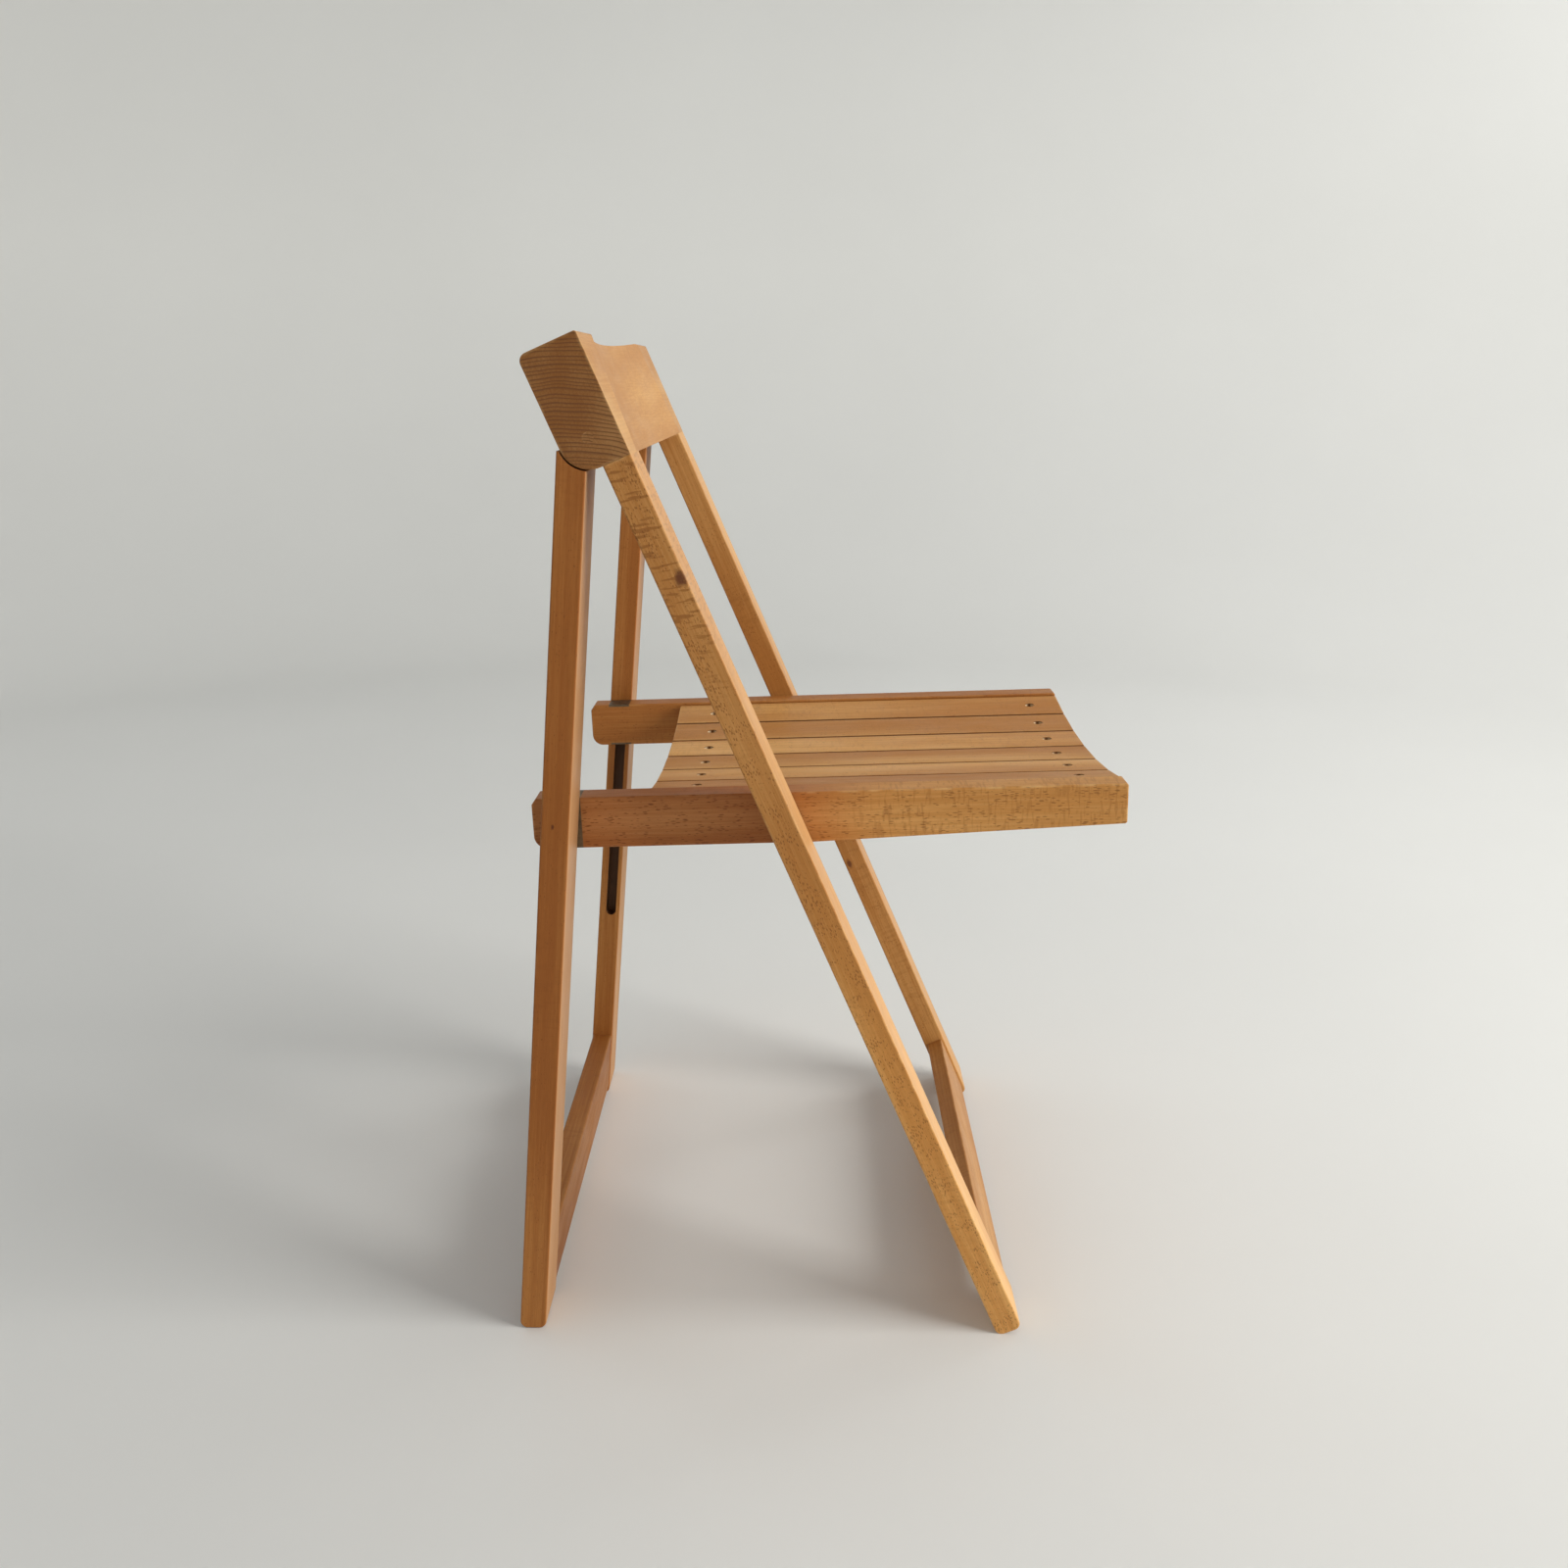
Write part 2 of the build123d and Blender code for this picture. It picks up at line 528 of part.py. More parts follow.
def build_nodes():
    nodes = {
        "backrest": backrest(),
        "front_stretcher": stretcher(
            FRONT, FRONT_STRETCHER_INSET, FRONT_STRETCHER_START, 0, FRONT_DOWELS
        ),
        "rear_stretcher": stretcher(
            REAR,
            REAR_STRETCHER_INSET,
            REAR_FOOT + REAR_STRETCHER_START,
            -LEG_DEPTH,
            REAR_DOWELS,
        ),
    }
    for name, side in SIDES.items():
        nodes[f"front_leg_{name}"] = front_leg(side)
        nodes[f"rear_leg_{name}"] = rear_leg(side)
        nodes[f"back_hinge_pin_{name}"] = hinge_pin(side)
        nodes[f"back_hinge_plug_{name}"] = hinge_plug(side)
        nodes[f"seat_pivot_pin_{name}"] = seat_pivot_pin(side)
        nodes[f"seat_washer_{name}"] = seat_washer(side)
        nodes[f"seat_rail_{name}"] = seat_rail(side)
        nodes[f"slide_bracket_{name}"] = slide_bracket(side)
        nodes[f"slide_pin_{name}"] = slide_pin(side)
        nodes[f"block_dowels_{name}"] = Compound(
            [dowel(start, FRONT.y_dir, BLOCK_DOWEL_LENGTH) for start in block_dowel_starts(side)]
        )
        for frame, plane, dowels in (
            ("front", FRONT, FRONT_DOWELS),
            ("rear", REAR, REAR_DOWELS),
        ):
            nodes[f"{frame}_dowels_{name}"] = Compound(
                [
                    dowel(start, (side, 0, 0), STRETCHER_DOWEL_LENGTH)
                    for start in stretcher_dowel_starts(plane, *dowels, side)
                ]
            )
        nodes[f"seat_dowels_{name}"] = Compound(
            [
                dowel(cross_dowel_start(reach, side), (side, 0, 0), CROSS_DOWEL_LENGTH)
                for reach in SCREW_LINES
            ]
        )
    for row, reach, clearance in zip(("rear", "front"), SCREW_LINES, CROSS_RAIL_CLEARANCES):
        nodes[f"seat_cross_rail_{row}"] = cross_rail(reach, clearance)
        nodes[f"seat_screws_{row}"] = Compound(
            [seat_screw(index, reach) for index in range(SLAT_COUNT)]
        )
    for index in range(SLAT_COUNT):
        nodes[f"seat_slat_{index + 1}"] = seat_slat(index)
    return nodes


os.makedirs("parts", exist_ok=True)
for node_name, solid in build_nodes().items():
    export_step(solid, f"parts/{node_name}.step")
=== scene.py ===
"""Looks of a wooden folding chair: varnished beech boards, steel fittings, soft studio light.

Metres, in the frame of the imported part: +Z up, the sitter faces -Y, the origin on the floor.
Each board's wood is solid: one pattern in the board's own coordinates, in which z runs along
the grain, y through the thickness and x across the width.
"""

import json
import math

import bmesh
import bpy
from mathutils import Euler, Matrix, Vector


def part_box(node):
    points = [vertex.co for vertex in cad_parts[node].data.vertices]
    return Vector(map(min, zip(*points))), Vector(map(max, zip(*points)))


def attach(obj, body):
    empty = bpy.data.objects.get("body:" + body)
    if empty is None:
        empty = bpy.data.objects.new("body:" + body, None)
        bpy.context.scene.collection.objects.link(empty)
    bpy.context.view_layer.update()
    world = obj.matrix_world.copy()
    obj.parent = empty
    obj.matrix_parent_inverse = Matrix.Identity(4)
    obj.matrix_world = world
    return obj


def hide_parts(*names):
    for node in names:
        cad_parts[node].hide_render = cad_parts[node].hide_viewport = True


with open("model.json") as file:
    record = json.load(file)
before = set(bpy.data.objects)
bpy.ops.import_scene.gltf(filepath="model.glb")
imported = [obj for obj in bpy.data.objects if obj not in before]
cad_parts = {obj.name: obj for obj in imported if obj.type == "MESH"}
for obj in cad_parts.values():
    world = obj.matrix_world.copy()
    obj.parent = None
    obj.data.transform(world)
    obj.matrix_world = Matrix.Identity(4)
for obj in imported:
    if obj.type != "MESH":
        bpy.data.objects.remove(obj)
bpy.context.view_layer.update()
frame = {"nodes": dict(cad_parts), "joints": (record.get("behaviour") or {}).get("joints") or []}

MM = 0.001
FRONT_LEAN = math.radians(23.65)
REAR_LEAN = math.radians(4.57)
SEAT_TILT = math.radians(2.1)
QUARTER = math.radians(90)

# Turns that bring a board's grain to z and its thickness to y.
GRAIN_UP_FRONT = (FRONT_LEAN, 0, 0)
GRAIN_UP_REAR = (-REAR_LEAN, 0, 0)
GRAIN_ACROSS_FRONT = (FRONT_LEAN, -QUARTER, 0)
GRAIN_ACROSS_REAR = (-REAR_LEAN, -QUARTER, 0)
GRAIN_ALONG_SEAT = (SEAT_TILT - QUARTER, 0, 0)
GRAIN_ACROSS_SEAT = (SEAT_TILT, -QUARTER, 0)


# ---- node building -------------------------------------------------------------
class Tree:
    """Short calls that add shader nodes to one material."""

    def __init__(self, name):
        self.material = bpy.data.materials.new(name)
        self.material.use_nodes = True
        self.tree = self.material.node_tree
        self.tree.nodes.clear()

    def node(self, kind, **settings):
        made = self.tree.nodes.new(kind)
        for key, value in settings.items():
            setattr(made, key, value)
        return made

    def feed(self, socket, value):
        """Link a socket to another node's output, or set it to a constant."""
        if isinstance(value, bpy.types.NodeSocket):
            self.tree.links.new(value, socket)
        elif value is not None:
            socket.default_value = value

    def math(self, operation, first, second=None, clamp=False):
        made = self.node("ShaderNodeMath", operation=operation, use_clamp=clamp)
        for socket, value in zip(made.inputs, (first, second)):
            self.feed(socket, value)
        return made.outputs[0]

    def add(self, first, second):
        return self.math("ADD", first, second)

    def times(self, first, second):
        return self.math("MULTIPLY", first, second)

    def vector(self, operation, first, second=None):
        made = self.node("ShaderNodeVectorMath", operation=operation)
        self.feed(made.inputs[0], first)
        self.feed(made.inputs[1], second)
        return made.outputs["Value" if operation in ("DOT_PRODUCT", "LENGTH") else "Vector"]

    def noise(self, place, scale=1.0, detail=2.0, roughness=0.5):
        made = self.node("ShaderNodeTexNoise")
        self.feed(made.inputs["Vector"], place)
        made.inputs["Scale"].default_value = scale
        made.inputs["Detail"].default_value = detail
        made.inputs["Roughness"].default_value = roughness
        return made.outputs["Fac"]

    def stretched(self, place, sizes):
        """The place measured in units of the given sizes along x, y and z."""
        return self.vector("MULTIPLY", place, tuple(1 / size for size in sizes))

    def step(self, value, low, high, from_value=0.0, to_value=1.0):
        """A smooth step from from_value at low to to_value at high."""
        made = self.node("ShaderNodeMapRange", interpolation_type="SMOOTHSTEP")
        for name, number in (
            ("Value", value),
            ("From Min", low),
            ("From Max", high),
            ("To Min", from_value),
            ("To Max", to_value),
        ):
            self.feed(made.inputs[name], number)
        return made.outputs[0]

    def mix(self, share, first, second, blend="MIX"):
        made = self.node("ShaderNodeMix", data_type="RGBA", blend_type=blend)
        self.feed(made.inputs["Factor"], share)
        colours = [socket for socket in made.inputs if socket.type == "RGBA"]
        self.feed(colours[0], first)
        self.feed(colours[1], second)
        return next(socket for socket in made.outputs if socket.type == "RGBA")

    def bump(self, height, strength, distance):
        made = self.node("ShaderNodeBump")
        made.inputs["Strength"].default_value = strength
        made.inputs["Distance"].default_value = distance
        self.feed(made.inputs["Height"], height)
        return made.outputs[0]

    def finish(self, **inputs):
        """The Principled shader, with constants on its own sockets."""
        shader = self.node("ShaderNodeBsdfPrincipled")
        for name, value in inputs.items():
            self.feed(shader.inputs[name.replace("_", " ")], value)
        output = self.node("ShaderNodeOutputMaterial")
        self.tree.links.new(shader.outputs[0], output.inputs["Surface"])
        return self.material


def colour(red, green, blue):
    return (red, green, blue, 1.0)


# ---- wood ----------------------------------------------------------------------
BEECH_PALE = colour(0.66, 0.335, 0.105)
BEECH_MID = colour(0.56, 0.245, 0.060)
BEECH_DEEP = colour(0.40, 0.145, 0.028)
FLECK = colour(0.16, 0.050, 0.011)
KNOT = colour(0.12, 0.033, 0.012)
END_GRAIN = colour(0.66, 0.60, 0.62)
END_LINE = colour(0.17, 0.062, 0.020)
WORN = colour(0.74, 0.46, 0.20)
# Painted shade: near black-brown inside the rear legs' slide grooves.
GRIME = colour(0.060, 0.026, 0.014)
# Painted shade on the slats' side faces, in the gaps between the slats.
GAP_STAIN = colour(0.13, 0.045, 0.014)
# Painted light on the screw-hole walls that face along the slat; BORE_SHADE is the painted shade on
# the other walls.
RAW_WOOD = colour(0.80, 0.60, 0.36)
BORE_SHADE = colour(0.22, 0.10, 0.042)
# Painted highlight: a creamy sheen for the boards' front faces.
CREAM = colour(0.74, 0.47, 0.24)

SEED_SHIFT = Vector((0.37, 0.73, 1.19))  # per unit of seed, so that no two boards match
BROAD_SIZES = (0.05, 0.05, 0.45)
STREAK_SIZES = (1.5 * MM, 1.5 * MM, 0.07)
FIBRE_SIZES = (0.35 * MM, 0.35 * MM, 9 * MM)
RING_WAVINESS = 1.8
END_RING_DEPTH = 0.85
RAY_LENGTH = 22 * MM
CURL_WIDTH = 15 * MM
EDGE_REACH = 2.2 * MM
WEAR_DEPTH = 0.38
KNOT_DEPTH = 0.85
# How strongly the painted groove shade covers the groove's inside.
GRIME_DEPTH = 0.82
BUMP_STRENGTH = 0.16
BUMP_DEPTH = 0.35 * MM


def board_coordinates(tree, turn, shift):
    """Object coordinates turned to the board, with and without its own shift."""
    place = tree.node("ShaderNodeTexCoord")
    mapping = tree.node("ShaderNodeMapping", vector_type="POINT")
    tree.feed(mapping.inputs["Vector"], place.outputs["Object"])
    mapping.inputs["Rotation"].default_value = turn
    board = mapping.outputs[0]
    normal = tree.node("ShaderNodeMapping", vector_type="VECTOR")
    tree.feed(normal.inputs["Vector"], place.outputs["Normal"])
    normal.inputs["Rotation"].default_value = turn
    return board, tree.vector("ADD", board, shift), normal.outputs[0]


def board_limits(node, turn):
    """The board's middle and half size in its own coordinates."""
    matrix = Euler(turn).to_matrix()
    corners = [matrix @ vertex.co for vertex in node.data.vertices]
    low = Vector(min(corner[axis] for corner in corners) for axis in range(3))
    high = Vector(max(corner[axis] for corner in corners) for axis in range(3))
    return (low + high) / 2, (high - low) / 2


def split(tree, place):
    made = tree.node("ShaderNodeSeparateXYZ")
    tree.feed(made.inputs[0], place)
    return made.outputs


def rings(tree, place, pith, spacing, waviness):
    """Growth rings round a pith line: 0 in early wood, 1 at each thin dark line."""
    wander = tree.noise(tree.stretched(place, (0.035, 0.035, 0.6)), detail=1.0)
    from_pith = tree.vector("SUBTRACT", place, (pith[0], pith[1], 0))
    flat = tree.vector("MULTIPLY", from_pith, (1, 1, 0))
    radius = tree.vector("LENGTH", flat)
    bent = tree.add(tree.times(radius, 1 / spacing), tree.times(wander, waviness))
    years = tree.node("ShaderNodeCombineXYZ")
    tree.feed(years.inputs[0], bent)
    uneven = tree.noise(years.outputs[0], scale=0.45, detail=0.0)
    phase = tree.math("FRACT", tree.add(bent, tree.times(uneven, 1.6)))
    rise = tree.step(phase, 0.45, 0.92)
    fall = tree.step(phase, 0.93, 1.0, 1.0, 0.0)
    return tree.times(rise, fall)


def flecks(tree, place, sizes, amount):
    """The dark ends of the rays: short dashes that lie along the grain."""
    cells = tree.node("ShaderNodeTexVoronoi", feature="F1", distance="EUCLIDEAN")
    tree.feed(cells.inputs["Vector"], tree.stretched(place, sizes))
    cells.inputs["Scale"].default_value = 1.0
    reach = tree.step(tree.noise(place, scale=90.0, detail=1.0), 0.35, 0.65, 0.55, 1.3)
    inner = tree.times(reach, 0.16 * amount)
    outer = tree.times(reach, 0.34 * amount)
    return tree.step(cells.outputs["Distance"], inner, outer, 1.0, 0.0)


def edge_closeness(tree, place, middle, half, reach):
    """1 on the board's edges, falling to 0 at the given distance from them."""
    centred = tree.vector("ABSOLUTE", tree.vector("SUBTRACT", place, tuple(middle)))
    depths = split(tree, tree.vector("SUBTRACT", tuple(half), centred))
    pairs = [
        tree.math("MAXIMUM", depths[first], depths[second])
        for first, second in ((0, 1), (0, 2), (1, 2))
    ]
    nearest = tree.math("MINIMUM", tree.math("MINIMUM", pairs[0], pairs[1]), pairs[2])
    return tree.step(nearest, 0.0, reach, 1.0, 0.0)


def knot_mask(tree, place, centre, sizes):
    """A dark knot with a ragged edge."""
    ragged = tree.times(tree.noise(place, scale=260.0, detail=3.0), 0.9)
    offset = tree.vector("SUBTRACT", place, tuple(centre))
    distance = tree.vector("LENGTH", tree.stretched(offset, sizes))
    return tree.step(tree.add(distance, ragged), 0.75, 1.55, 1.0, 0.0)


class Board:
    """One board's shader tree, with its own coordinates and what its faces look along."""

    def __init__(self, name, node, turn, seed):
        self.tree = Tree(name)
        shift = SEED_SHIFT * seed
        self.middle, self.half = board_limits(node, turn)
        self.plain, self.place, self.normal = board_coordinates(self.tree, turn, tuple(shift))
        self.centre = self.middle + shift
        self.facing = split(self.tree, self.tree.vector("ABSOLUTE", self.normal))
        self.end = self.tree.step(self.facing[2], 0.6, 0.95)
        self.side_only = self.tree.math("SUBTRACT", 1.0, self.end)

    def noise(self, sizes, **settings):
        """Noise with features of the given sizes along x, y and z."""
        return self.tree.noise(self.tree.stretched(self.place, sizes), **settings)

    def zone(self, reaches):
        """0 to 1 along the grain: (none at, full at), from the board's middle."""
        begin, full = (self.middle.z + reach for reach in reaches)
        return zone_step(self.tree, split(self.tree, self.plain)[2], begin, full)


def growth(board, streak, fibre, pith, ring_spacing, ring_depth):
    """The wood's own colour: broad tones, end grain, rings and fine fibres."""
    tree = board.tree
    broad = board.noise(BROAD_SIZES)
    shade = tree.add(tree.times(broad, 0.75), tree.times(streak, 0.45))
    shade = tree.math("ADD", shade, -0.18, clamp=True)
    body = tree.mix(shade, BEECH_DEEP, BEECH_MID)
    lighter = tree.step(tree.add(broad, tree.times(streak, 0.35)), 0.55, 0.95)
    body = tree.mix(lighter, body, BEECH_PALE)
    body = tree.mix(board.end, body, tree.mix(1.0, body, END_GRAIN, "MULTIPLY"))

    pith_line = (board.centre.x + pith[0], board.centre.y + pith[1])
    ring = rings(tree, board.place, pith_line, ring_spacing, RING_WAVINESS)
    share = tree.add(tree.times(board.side_only, ring_depth), tree.times(board.end, END_RING_DEPTH))
    body = tree.mix(tree.times(ring, share), body, tree.mix(board.end, BEECH_DEEP, END_LINE))
    fine = tree.step(fibre, 0.35, 0.75, 0.90, 1.06)
    return tree.mix(1.0, body, combine_grey(tree, fine), "MULTIPLY")


def curly_figure(board, curl, zone, period, slant):
    """How dark the curly bands across the grain are."""
    tree = board.tree
    slanted = tree.node("ShaderNodeMapping", vector_type="POINT")
    tree.feed(slanted.inputs["Vector"], board.place)
    slanted.inputs["Rotation"].default_value = (slant, 0, 0)
    sizes = (CURL_WIDTH, CURL_WIDTH, period)
    bands = tree.noise(tree.stretched(slanted.outputs[0], sizes), detail=1.5)
    patches = tree.step(board.noise((0.05, 0.05, 0.09), detail=1.0), 0.35, 0.7)
    if zone:
        patches = tree.add(tree.times(board.zone(zone), 0.9), tree.times(patches, 0.25))
    strength = tree.times(tree.times(patches, curl), board.side_only)
    return tree.times(tree.step(bands, 0.36, 0.48, 1.0, 0.0), strength)


def edge_wear(board):
    """How worn the varnish is: patches along the edges."""
    tree = board.tree
    patches = tree.step(tree.noise(board.place, scale=70.0, detail=3.0), 0.40, 0.66)
    edge = edge_closeness(tree, board.plain, board.middle, board.half, EDGE_REACH)
    return tree.times(edge, tree.times(patches, WEAR_DEPTH))


def varnish(board, body, streak, fibre, dash, wear):
    """The finished material: roughness and bump over the given colour."""
    tree = board.tree
    matt = board.noise((0.02, 0.02, 0.05), detail=3.0)
    rough = tree.step(matt, 0.25, 0.75, 0.44, 0.58)
    rough = tree.add(rough, tree.times(board.end, 0.14))
    rough = tree.math("ADD", rough, tree.times(wear, 0.35), clamp=True)
    height = tree.add(tree.times(fibre, 0.5), tree.times(streak, 0.5))
    height = tree.math("SUBTRACT", height, tree.times(dash, 0.45))
    return tree.finish(
        Base_Color=body,
        Roughness=rough,
        Normal=tree.bump(height, BUMP_STRENGTH, BUMP_DEPTH),
        IOR=1.45,
        Specular_IOR_Level=0.30,
    )


def wood(
    name,
    node,
    turn,
    seed,
    pith=(0.09, 0.02),
    ring_spacing=3.4 * MM,
    ring_depth=0.35,
    radial="x",
    fleck_amount=1.0,
    fleck_sizes=(1.6 * MM, 4.6 * MM),
    curl=0.25,
    curl_zone=None,
    curl_period=3.0 * MM,
    curl_slant=0.0,
    tone=1.0,
    warmth=0.0,
    knots=(),
    hollow=None,
    bores=(),
    stained_sides=0.0,
    pale_front=0.0,
    grading=None,
):
    """Satin-varnished beech for one board.

    pith is where the tree's middle lies from the board's middle, and radial the board axis
    along which the rays run, so that the faces across it show flecks. curl_zone is where
    along the grain the curly figure grows: (none at, full at), from the board's middle.
    grading is painted light and shade along the grain in the same way: (none at, full at, tint).
    """
    board = Board(name, node, turn, seed)
    tree = board.tree
    streak = board.noise(STREAK_SIZES, detail=3.0, roughness=0.6)
    fibre = board.noise(FIBRE_SIZES, detail=2.0, roughness=0.6)
    body = growth(board, streak, fibre, pith, ring_spacing, ring_depth)

    figure = curly_figure(board, curl, curl_zone, curl_period, curl_slant)
    body = tree.mix(figure, body, tree.mix(0.55, BEECH_DEEP, FLECK))

    wide, long = fleck_sizes
    cells = {"x": (RAY_LENGTH, wide, long), "y": (wide, RAY_LENGTH, long)}[radial]
    dash = flecks(tree, board.place, cells, fleck_amount)
    towards_rays = board.facing["xyz".index(radial)]
    dash_share = tree.times(dash, tree.step(towards_rays, 0.3, 0.9, 0.15, 0.68))
    body = tree.mix(dash_share, body, FLECK)

    wear = edge_wear(board)
    body = tree.mix(wear, body, WORN)
    for along, over, sizes in knots:
        spot = board.centre + Vector((over[0], over[1], along))
        mask = knot_mask(tree, board.place, spot, sizes)
        body = tree.mix(tree.times(mask, KNOT_DEPTH), body, KNOT)

    tint = colour(tone, tone * (1 - 0.6 * warmth), tone * (1 - 1.2 * warmth))
    body = tree.mix(1.0, body, tint, "MULTIPLY")
    # Painted highlight: faces looking forward turned paler, towards a creamy sheen.
    if pale_front:
        front_face = tree.step(split(tree, board.normal)[1], -0.95, -0.55, 1.0, 0.0)
        body = tree.mix(tree.times(front_face, pale_front), body, CREAM)
    # Painted light and shade: a tinted gradient along the grain.
    if grading:
        body = tree.mix(board.zone(grading[:2]), body, grading[2], "MULTIPLY")
    # Painted shade on the faces turned across the board: the slats' sides in the gaps.
    if stained_sides:
        stain = tree.times(tree.step(board.facing[0], 0.30, 0.75), stained_sides)
        body = tree.mix(stain, body, GAP_STAIN)
    # Painted light and shade in the screw holes: walls facing along the grain painted lit, the
    # others painted shaded.
    for bore in bores:
        wall = tree.mix(tree.step(board.facing[2], 0.15, 0.6), BORE_SHADE, RAW_WOOD)
        body = tree.mix(inside_box(tree, board.plain, *bore), body, wall)
    # Painted shade inside the slide groove.
    if hollow:
        inside = inside_box(tree, board.plain, *hollow)
        body = tree.mix(tree.times(inside, GRIME_DEPTH), body, GRIME)
    return varnish(board, body, streak, fibre, dash, wear)


def inside_box(tree, place, middle, half):
    """1 inside a box of the board's coordinates, 0 outside it."""
    centred = tree.vector("ABSOLUTE", tree.vector("SUBTRACT", place, tuple(middle)))
    depths = split(tree, tree.vector("SUBTRACT", tuple(half), centred))
    least = tree.math("MINIMUM", tree.math("MINIMUM", depths[0], depths[1]), depths[2])
    return tree.step(least, 0.0, 0.5 * MM)


def combine_grey(tree, value):
    made = tree.node("ShaderNodeCombineXYZ")
    for socket in made.inputs:
        tree.feed(socket, value)
    return made.outputs[0]


def zone_step(tree, along, begin, full):
    """Rises from 0 at begin to 1 at full, whichever way that is."""
    if begin < full:
        return tree.step(along, begin, full)
    return tree.step(along, full, begin, 1.0, 0.0)


# ---- metal and plastic ---------------------------------------------------------
def steel(name, base, dark, roughness, scratch_sizes):
    """Plated steel: dull patches, fine scratches and a little staining."""
    tree = Tree(name)
    place = tree.node("ShaderNodeTexCoord").outputs["Object"]
    cloud = tree.noise(place, scale=140.0, detail=5.0, roughness=0.65)
    scratch = tree.noise(tree.stretched(place, scratch_sizes), detail=3.0, roughness=0.7)
    stain = tree.step(cloud, 0.45, 0.72)
    body = tree.mix(tree.times(stain, 0.7), base, dark)
    shine = tree.step(scratch, 0.3, 0.7, 0.88, 1.08)
    body = tree.mix(1.0, body, combine_grey(tree, shine), "MULTIPLY")
    uneven = tree.add(tree.times(cloud, 0.6), tree.times(scratch, 0.4))
    rough = tree.step(uneven, 0.3, 0.7, roughness - 0.1, roughness + 0.12)
    bump = tree.bump(scratch, 0.15, 0.1 * MM)
    return tree.finish(Base_Color=body, Metallic=1.0, Roughness=rough, Normal=bump)


def nylon(name):
    """Milky nylon, slightly mottled."""
    tree = Tree(name)
    place = tree.node("ShaderNodeTexCoord").outputs["Object"]
    mottle = tree.noise(place, scale=300.0, detail=4.0)
    body = tree.mix(mottle, colour(0.62, 0.60, 0.54), colour(0.78, 0.77, 0.72))
    rough = tree.step(mottle, 0.3, 0.7, 0.40, 0.55)
    bump = tree.bump(mottle, 0.1, 0.1 * MM)
    return tree.finish(
        Base_Color=body, Roughness=rough, Normal=bump, Subsurface_Weight=0.15, Subsurface_Scale=0.002
    )


def put(node_name, material):
    """Give a CAD node one material."""
    node = frame["nodes"][node_name]
    node.data.materials.clear()
    node.data.materials.append(material)


# ---- screws --------------------------------------------------------------------
SEAT_DISH_RADIUS = 0.903
HEAD_RADIUS = 3.8 * MM
HEAD_HEIGHT = 2.0 * MM
HEAD_CROWN = 0.35 * MM
HEAD_RIM = 0.1 * HEAD_RADIUS
SHANK_RADIUS = 1.8 * MM
SHANK_LENGTH = 11.0 * MM
TIP_RADIUS = 0.3 * MM
TAPER_START = 1.5 * MM  # above the shank's end
TIP_START = 0.1 * MM
RECESS_REACH = 2.1 * MM
RECESS_HALF = 0.55 * MM
RECESS_DEPTH = 1.1 * MM
HEAD_RINGS = 22
SCREW_SIDES = 64
SLATS = 6
SLAT_REACH = 15 * MM  # sideways from a screw, within its own slat
FLAT_SPARE = 0.05 * MM


def recess_depth(x, y):
    """Depth of the cross recess under the head's crown."""
    deepest = 0.0
    for along, over in ((abs(x), abs(y)), (abs(y), abs(x))):
        wall = min(1.0, max(0.0, (RECESS_HALF - over) / (0.25 * RECESS_HALF)))
        end = min(1.0, max(0.0, (RECESS_REACH - along) / (0.6 * RECESS_REACH)))
        deepest = max(deepest, wall * end * RECESS_DEPTH)
    return deepest


def screw_rings():
    """Rings (radius, height, recessed) from the head's middle down to the shank's tip."""
    for ring in range(1, HEAD_RINGS + 1):
        radius = (HEAD_RADIUS - HEAD_RIM) * ring / HEAD_RINGS
        drop = HEAD_CROWN * (radius / HEAD_RADIUS) ** 2
        yield radius, -drop, True
    for angle in (30, 60, 90):
        turn = math.radians(angle)
        radius = HEAD_RADIUS - HEAD_RIM * (1 - math.sin(turn))
        yield radius, -HEAD_CROWN - HEAD_RIM * (1 - math.cos(turn)), False
    yield HEAD_RADIUS, -HEAD_HEIGHT, False
    yield SHANK_RADIUS, -HEAD_HEIGHT, False
    end = -HEAD_HEIGHT - SHANK_LENGTH
    yield SHANK_RADIUS, end + TAPER_START, False
    yield TIP_RADIUS, end + TIP_START, False


def add_screw(made, top, axis, twist):
    """Add one screw to a bmesh, its head's top at a point and its axis out of the wood."""
    place = Matrix.Translation(top) @ axis.to_track_quat("Z", "Y").to_matrix().to_4x4()
    place = place @ Matrix.Rotation(twist, 4, "Z")
    middle = made.verts.new(place @ Vector((0, 0, -recess_depth(0, 0))))
    before = None
    for radius, height, recessed in screw_rings():
        ring = []
        for turn in range(SCREW_SIDES):
            angle = 2 * math.pi * turn / SCREW_SIDES
            x, y = radius * math.cos(angle), radius * math.sin(angle)
            depth = recess_depth(x, y) if recessed else 0.0
            ring.append(made.verts.new(place @ Vector((x, y, height - depth))))
        for turn in range(SCREW_SIDES):
            following = (turn + 1) % SCREW_SIDES
            if before is None:
                made.faces.new((middle, ring[turn], ring[following]))
            else:
                made.faces.new((before[turn], ring[turn], ring[following], before[following]))
        before = ring
    made.faces.new(list(reversed(before)))


